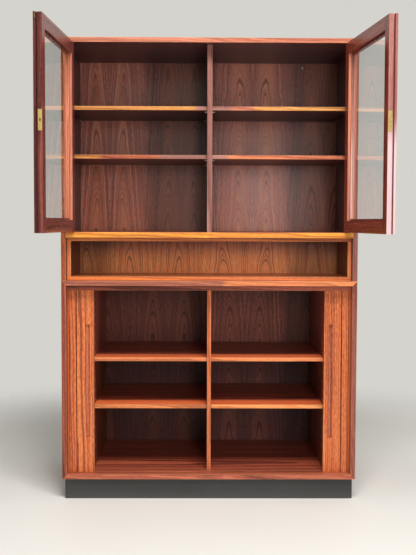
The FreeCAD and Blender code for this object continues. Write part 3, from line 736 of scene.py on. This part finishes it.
def dress_sides():
    """The side boards, the liners, what stands in the pockets behind them, and the low case's shelves."""
    upright, flat = {"axes": "YXZ"}, {"axes": "YZX"}
    left_outside, right_outside = ("X", 0.004, 0.006, "case"), ("X", 0.012, 0.010, "case")
    for side, base_edge, display_edge, outside in (
        ("left", "case", "bright", left_outside), ("right", "russet", "blush", right_outside)
    ):
        dress_wood(side + "_base_side", "case", lip=[base_edge], **upright)
        # Painted shade: the display case's sides are in a dark tone inside, and in the case's tone on
        # their outer faces
        dress_wood(side + "_display_side", "shade", lip=[display_edge], partly=outside, **upright)
        dress_wood(side + "_liner", "maroon", partly=("Z", 0.36, 0.40, "walnut"), drilled=True, **upright)
        dress_wood(side + "_niche_wall", "walnut", lip=["pale"], **upright)
        dress_wood(side + "_pocket_curtain", "tambour", **upright)
        for level, edge in (("upper", "pale"), ("lower", "golden")):
            shelf = "base_%s_shelf_%s" % (side, level)
            # Painted light: the front of each shelf's top, where the light falls, is in a bright tone
            dress_wood(shelf, "inner", lip=[edge], partly=("Y", 0.070, 0.100, "painted_lit_flame"), **flat)


def dress_middle():
    """The display case's shelves, and every other board that lies flat or stands in the middle."""
    upright, flat = {"axes": "YXZ"}, {"axes": "YZX"}
    # Painted shade: the display case's shelves are in a dark tone, as they lie in shade
    for shelf, edge in (
        ("left_shelf_upper", ["honey", (-0.048, "rosy")]),
        ("left_shelf_lower", ["honey", (-0.37, "mid"), (-0.17, "rosy")]),
        ("right_shelf_upper", ["rosy", (0.07, "salmon"), (0.15, "honey")]),
        ("right_shelf_lower", ["rosy", (0.06, "mid")]),
    ):
        dress_wood("display_" + shelf, "shade", lip=edge, **flat)
    # Painted light: the front of the low case's floor, where the light falls, is in a lighter tone
    dress_wood("base_bottom", "inner", lip=["case"], partly=("Y", 0.040, 0.100, "mid"), **flat)
    dress_wood("base_top", "inner", lip=["salmon", (0.05, "peach")], **flat)
    dress_wood("base_divider", "inner", lip=["pale"], **upright)
    dress_wood("tambour_track", "case", axes="ZYX")
    dress_wood("niche_floor", "golden", lip=["orange"], partly=("Y", 0.028, 0.040, "orange"), gloss=0.18,
               shine=0.60, **flat)
    dress_wood("niche_ceiling", "inner", lip=["umber"], **flat)
    dress_wood("display_floor", "inner", lip=["amber"], **flat)
    # Painted shade: the display case's top and divider are in a dark tone inside; the top keeps the
    # case's tone on its outer face
    dress_wood("display_top", "shade", lip=["salmon"], partly=("Z", 0.012, 0.010, "case"), **flat)
    dress_wood("display_divider", "shade", lip=["rosy"], **upright)


def dress_backs():
    """The veneered panels behind the bays. Painted light: the lower part of the display case's back and
    of the niche's back, and the upper bay of the low case's back, are in a lighter tone. The pairs'
    shades hold painted light and painted reflection as well as the leaves' own tone.
    """
    panel = {"axes": "XYZ", "depth": 0.045, "bands": 0.8, "flecks": 0.8}
    tall = {"taper": 0.046, "gap": 0.0017, "swell": 6.0, **panel}
    dress_wood("display_back", "back", leaves=(0.1349, -0.374, 0.05), shades=(0, 1.22, 0.60, 1.45, 0.62),
               partly=("Z", 0.15, 0.50, "painted_lit_chestnut"), gloss=0.15, shine=0.45, **tall)
    dress_wood("base_back", "deep", leaves=(0.150, 0.145, 0.06), shades=(-2, 0.74, 0.93, 1.32, 0.50),
               partly=("Z", 0.52, 0.28, "painted_lit_dusk"), **tall)
    dress_wood("niche_back", "back", leaves=(0.166, -0.20, 0.083), shades=(-1, 0.52, 1.02, 1.15, 0.56),
               partly=("Z", 0.030, 0.140, "golden"), taper=0.060, gap=0.0022, swell=9.0, **panel)


def dress_doors():
    for side, turn, bead_edge, bead_wash, free_edge, free_wash in (
        ("left", LEFT_DOOR_TURN_DEG, "salmon", None, "left_door", None),
        ("right", RIGHT_DOOR_TURN_DEG, "rosy", BEAD_PAINTED_SHEEN, "blush", STILE_PAINTED_SHEEN),
    ):
        door, tone = side + "_door_", side + "_door"
        turned = {"turn": -turn, "gloss": 0.20}
        # Painted light on the doors' edges: the rims' tones by how these face the light, and on the right
        # door a painted sheen low down
        dress_wood(door + "hinge_stile", tone, axes="XYZ", rim="salmon", **turned)
        dress_wood(door + "lock_stile", tone, axes="XYZ", rim=free_edge, wash=free_wash, **turned)
        dress_wood(door + "beads", tone, axes="XYZ", rim=bead_edge, wash=bead_wash, **turned)
        for part in ("top_rail", "bottom_rail"):
            dress_wood(door + part, tone, axes="ZYX", **turned)


def dress_tambours():
    streaky = {"axes": "XYZ", "gap": 0.004, "bands": 0.9, "flecks": 1.0, "depth": 0.03, "taper": 0.01}
    face = ("Y", 0.0006, 0.0016, "tambour")
    for side in ("left", "right"):
        dress_wood(side + "_tambour_stile", "mid", partly=face, pith=0.06,
                   seams=(SEAM_FIRST, STILE_SEAM_STEP), **streaky)
        dress_wood(side + "_tambour_slat", "tambour", pith=0.05, seams=(SEAM_FIRST, SEAM_STEP), **streaky)


def dress_all():
    """Dresses every node, and returns the brass and the nickel for the screws."""
    dress_sides()
    dress_middle()
    dress_backs()
    dress_doors()
    dress_tambours()
    brass, nickel = metal("brass"), metal("nickel")
    made = {"plinth_paint": painted_plinth(), "brass": brass, "glass": glass(), "canvas": canvas()}
    for part in frame["record"]["subparts"]:
        if part["material_slot"] in made:
            dress(part["node"], made[part["material_slot"]])
    dress("left_door_top_bolt", metal("aged_brass"))
    dress("shelf_pins", nickel)
    return brass, nickel


def new_piece(name, build, material, body=None):
    """A piece from the bmesh that build returns. It rides on the body, if one is given."""
    mesh = bpy.data.meshes.new(name)
    built = build()
    built.to_mesh(mesh)
    built.free()
    piece = bpy.data.objects.new(name, mesh)
    bpy.context.scene.collection.objects.link(piece)
    mesh.materials.append(material)
    if body:
        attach(piece, body)
    return piece


def screw_head(size, frame_matrix):
    """A function that builds a slotted countersunk head with a domed top, facing +Z of frame_matrix."""
    radius, rise, slot_width, slot_depth = size

    def build():
        mesh = bmesh.new()
        rings = [[mesh.verts.new((0.0, 0.0, rise))]]
        for circle in range(1, SCREW_CIRCLES + 1):
            share = circle / SCREW_CIRCLES
            height = rise * (1.0 - share ** 2)
            row = []
            for spoke in range(SCREW_SPOKES):
                angle = 2 * math.pi * spoke / SCREW_SPOKES
                x, y = share * radius * math.cos(angle), share * radius * math.sin(angle)
                row.append(mesh.verts.new((x, y, height)))
            rings.append(row)
        foot = [mesh.verts.new((v.co.x, v.co.y, -rise)) for v in rings[-1]]
        for spoke in range(SCREW_SPOKES):
            after = (spoke + 1) % SCREW_SPOKES
            mesh.faces.new((rings[0][0], rings[1][spoke], rings[1][after]))
            for inner, outer in zip(rings[1:], rings[2:] + [foot]):
                mesh.faces.new((inner[spoke], outer[spoke], outer[after], inner[after]))
        mesh.faces.new(list(reversed(foot)))
        for row in rings:
            for v in row:
                if abs(v.co.y) < slot_width / 2 and abs(v.co.x) < SLOT_REACH * radius:
                    v.co.z -= slot_depth
        mesh.transform(frame_matrix)
        return mesh

    return build


def facing(point, normal, turn_deg):
    """A frame at point whose +Z is normal, turned about it."""
    spin = Matrix.Rotation(math.radians(turn_deg), 4, "Z")
    return Matrix.Translation(point) @ normal.to_track_quat("Z", "Y").to_matrix().to_4x4() @ spin


def plate_screws(material):
    """Two screws in each brass plate of the doors."""
    half = PLATE_LENGTH / 2 - SCREW_FROM_PLATE_END
    for side, plate, body, turn, outward in (
        ("left", "left_door_strike_plate", "door_left", LEFT_DOOR_TURN_DEG, 1.0),
        ("right", "right_door_lock", "door_right", RIGHT_DOOR_TURN_DEG, -1.0),
    ):
        low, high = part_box(plate)
        middle_z = (low.z + high.z) / 2
        out = Matrix.Rotation(math.radians(turn), 3, "Z") @ Vector((outward, 0.0, 0.0))
        corners = [v.co for v in nodes[plate].data.vertices]
        furthest = max(co.dot(out) for co in corners)
        on_face = [co for co in corners if co.dot(out) > furthest - ON_PLATE_FACE]
        centre = sum(on_face, Vector()) / len(on_face)
        for where, end, slot_turn in (("bottom", -1, 20.0), ("top", 1, 75.0)):
            point = Vector((centre.x, centre.y, middle_z + end * half))
            head = screw_head(PLATE_SCREW, facing(point, out, slot_turn))
            piece = new_piece("%s_plate_screw_%s" % (side, where), head, material, body)


def back_screw(material):
    """The small pale screw high on the display case's back."""
    low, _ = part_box("display_back")
    place = facing(Vector((BACK_SCREW_X, low.y, BACK_SCREW_Z)), Vector((0, -1, 0)), BACK_SCREW_TURN_DEG)
    piece = new_piece("back_screw", screw_head(BACK_SCREW, place), material, "carcass")


def rest_share(spread):
    """The share of a curtain's gap at rest that lies between the wall and a point, from the share of the
    closed curtain that does. It undoes a smooth step from start to end."""
    return 0.5 - math.sin(math.asin(max(-1.0, min(1.0, 1.0 - 2.0 * spread))) / 3.0)


def curtain_outline(face, behind):
    """The closed curtain from above, as pairs of the distance from the wall and Y: out along the slats'
    faces, and back along the plain rear."""
    pitch = CURTAIN_REACH / CURTAIN_SLATS
    deep = face + SLAT_SEAM_DEPTH
    outline = []
    for index in range(CURTAIN_SLATS):
        near = index * pitch + SLAT_SEAM / 2
        far = index * pitch + pitch - SLAT_SEAM / 2
        outline += [
            (near, deep),
            (near, face + SLAT_BEVEL),
            (near + SLAT_BEVEL, face),
            (index * pitch + pitch / 2, face),
            (far - SLAT_BEVEL, face),
            (far, face + SLAT_BEVEL),
            (far, deep),
        ]
    return outline + [(CURTAIN_REACH, behind), (0.0, behind)]


def tambour_curtain(side, material):
    """The slats in the pocket behind the leading ones, folded into the gap at the pocket's mouth. Each
    point also keeps where it lies when the tambour is closed, which the figure reads."""
    sign = -1.0 if side == "left" else 1.0
    slat_low, slat_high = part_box(side + "_tambour_slat")

    def build():
        mesh = bmesh.new()
        closed = mesh.verts.layers.float_vector.new("slat_place")
        rows = []
        for z in (slat_low.z, slat_high.z):
            row = []
            for spread, y in curtain_outline(slat_low.y, slat_high.y):
                x = CURTAIN_WALL - (CURTAIN_WALL - CURTAIN_START) * rest_share(spread / CURTAIN_REACH)
                vert = mesh.verts.new((sign * x, y, z))
                vert[closed] = (sign * (CURTAIN_WALL - spread), y, z)
                row.append(vert)
            rows.append(row)
        foot, head = rows
        for index in range(len(foot)):
            after = (index + 1) % len(foot)
            mesh.faces.new((foot[index], foot[after], head[after], head[index]))
        mesh.faces.new(list(reversed(foot)))
        mesh.faces.new(head)
        bmesh.ops.recalc_face_normals(mesh, faces=mesh.faces)
        return mesh

    piece = new_piece(side + "_tambour_curtain", build, material)
    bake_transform(piece)


def slat_place(graph):
    """Where a curtain's point is when the tambour is closed, so that the figure isn't folded."""
    return graph.new("ShaderNodeAttribute", attribute_name="slat_place").outputs["Vector"]


def make_curtains():
    for side, left_end, right_end in (("left", -CURTAIN_WALL, 0.0), ("right", 0.0, CURTAIN_WALL)):
        low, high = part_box(side + "_tambour_slat")
        low.x, high.x = left_end, right_end
        material = rosewood(
            "wood_%s_curtain" % side, "tambour", "XYZ", (low, high), pith=0.05, depth=0.03, taper=0.01,
            gap=0.004, bands=0.9, flecks=1.0, seams=(CURTAIN_WALL, CURTAIN_REACH / CURTAIN_SLATS),
            read_place=slat_place,
        )
        tambour_curtain(side, material)


def make_floor():
    """A pale floor that fades into the backdrop away from the object."""
    material, graph, shader, output = new_material("floor")
    place = graph.place()
    x, y, _ = graph.split(place)
    fade = graph.remap(graph.length(x, y), FLOOR_FADE_FROM, FLOOR_FADE_TO, smooth=True)
    cloud = graph.noise(place, FLOOR_WAVES, 3.0)
    worn = tuple(value * FLOOR_WORN for value in FLOOR_COLOUR)
    graph.plug(shader.inputs["Base Color"], graph.mix(cloud, FLOOR_COLOUR, worn))
    shader.inputs["Roughness"].default_value = 0.55
    shader.inputs["Specular IOR Level"].default_value = 0.3
    see_past = graph.new("ShaderNodeBsdfTransparent")
    blend = graph.new("ShaderNodeMixShader", (fade, shader.outputs[0], see_past.outputs[0]))
    graph.plug(output.inputs["Surface"], blend.outputs[0])

    def build():
        mesh = bmesh.new()
        bmesh.ops.create_circle(mesh, cap_ends=True, segments=FLOOR_SEGMENTS, radius=FLOOR_RADIUS)
        return mesh

    floor = new_piece("floor", build, material)
    floor.location.z = -FLOOR_DROP


def fade_edges(lamp_data):
    """Lets a lamp's light fade towards its edges, at the same power."""
    lamp_data.use_nodes = True
    graph = Graph(lamp_data.node_tree)
    across, up, _ = graph.split(graph.new("ShaderNodeNewGeometry").outputs["Parametric"])
    fades = []
    for place in (across, up):
        off_middle = graph.math("ABSOLUTE", graph.math("SUBTRACT", place, 0.5))
        fades.append(graph.remap(off_middle, FADE_FROM, FADE_TO, 1.0, 0.0, smooth=True))
    strength = graph.math("MULTIPLY", graph.math("MULTIPLY", *fades), FADE_GAIN)
    graph.plug(lamp_data.node_tree.nodes["Emission"].inputs["Strength"], strength)


def make_lamp(name, place, aim, width, height, power, mirrored=False, faded=False):
    """A soft lamp. It isn't seen through glass, and polished faces only show it if it is mirrored."""
    data = bpy.data.lights.new(name, "AREA")
    data.shape = "RECTANGLE"
    data.size, data.size_y, data.energy = width, height, power
    if faded:
        fade_edges(data)
    lamp = bpy.data.objects.new(name, data)
    lamp.visible_transmission = False
    lamp.visible_glossy = mirrored
    lamp.location = place
    lamp.rotation_mode = "QUATERNION"
    lamp.rotation_quaternion = (Vector(aim) - Vector(place)).to_track_quat("-Z", "Y")
    bpy.context.scene.collection.objects.link(lamp)


def make_world():
    """A plain pale backdrop for sight, mirrors and glass, and a soft even light for everything else."""
    world = bpy.data.worlds.new("studio")
    world.use_nodes = True
    world.node_tree.nodes.clear()
    graph = Graph(world.node_tree)
    rays = graph.new("ShaderNodeLightPath").outputs
    seen = graph.math("MAXIMUM", rays["Is Camera Ray"], rays["Is Glossy Ray"])
    seen = graph.math("MAXIMUM", seen, rays["Is Transmission Ray"])
    backdrop = graph.new("ShaderNodeBackground", ((*BACKDROP_COLOUR, 1.0), 1.0))
    sky = graph.new("ShaderNodeBackground", ((*SKY_COLOUR, 1.0), SKY_STRENGTH))
    choose = graph.new("ShaderNodeMixShader", (seen, sky.outputs[0], backdrop.outputs[0]))
    graph.plug(graph.new("ShaderNodeOutputWorld").inputs["Surface"], choose.outputs[0])
    bpy.context.scene.world = world


def make_camera():
    data = bpy.data.cameras.new("camera")
    data.sensor_width = CAMERA_SENSOR_MM
    data.lens = CAMERA_LENS_MM
    data.clip_end = CAMERA_SEES_TO
    camera = bpy.data.objects.new("camera", data)
    down, right, roll = (math.radians(v) for v in (CAMERA_DOWN_DEG, CAMERA_RIGHT_DEG, CAMERA_ROLL_DEG))
    camera.matrix_world = (
        Matrix.Translation(CAMERA_PLACE)
        @ Matrix.Rotation(-right, 4, "Z")
        @ Matrix.Rotation(math.pi / 2 - down, 4, "X")
        @ Matrix.Rotation(roll, 4, "Z")
    )
    bpy.context.scene.collection.objects.link(camera)
    bpy.context.scene.camera = camera


brass_metal, nickel_metal = dress_all()
plate_screws(brass_metal)
back_screw(nickel_metal)
make_curtains()
make_floor()
make_lamp("key", *KEY_LAMP, mirrored=True)
make_lamp("front", *FRONT_LAMP)
make_lamp("window", *WINDOW_LAMP, mirrored=True, faded=True)
make_lamp("side", *SIDE_LAMP)
make_world()
make_camera()
bpy.context.scene.view_settings.view_transform = "Standard"
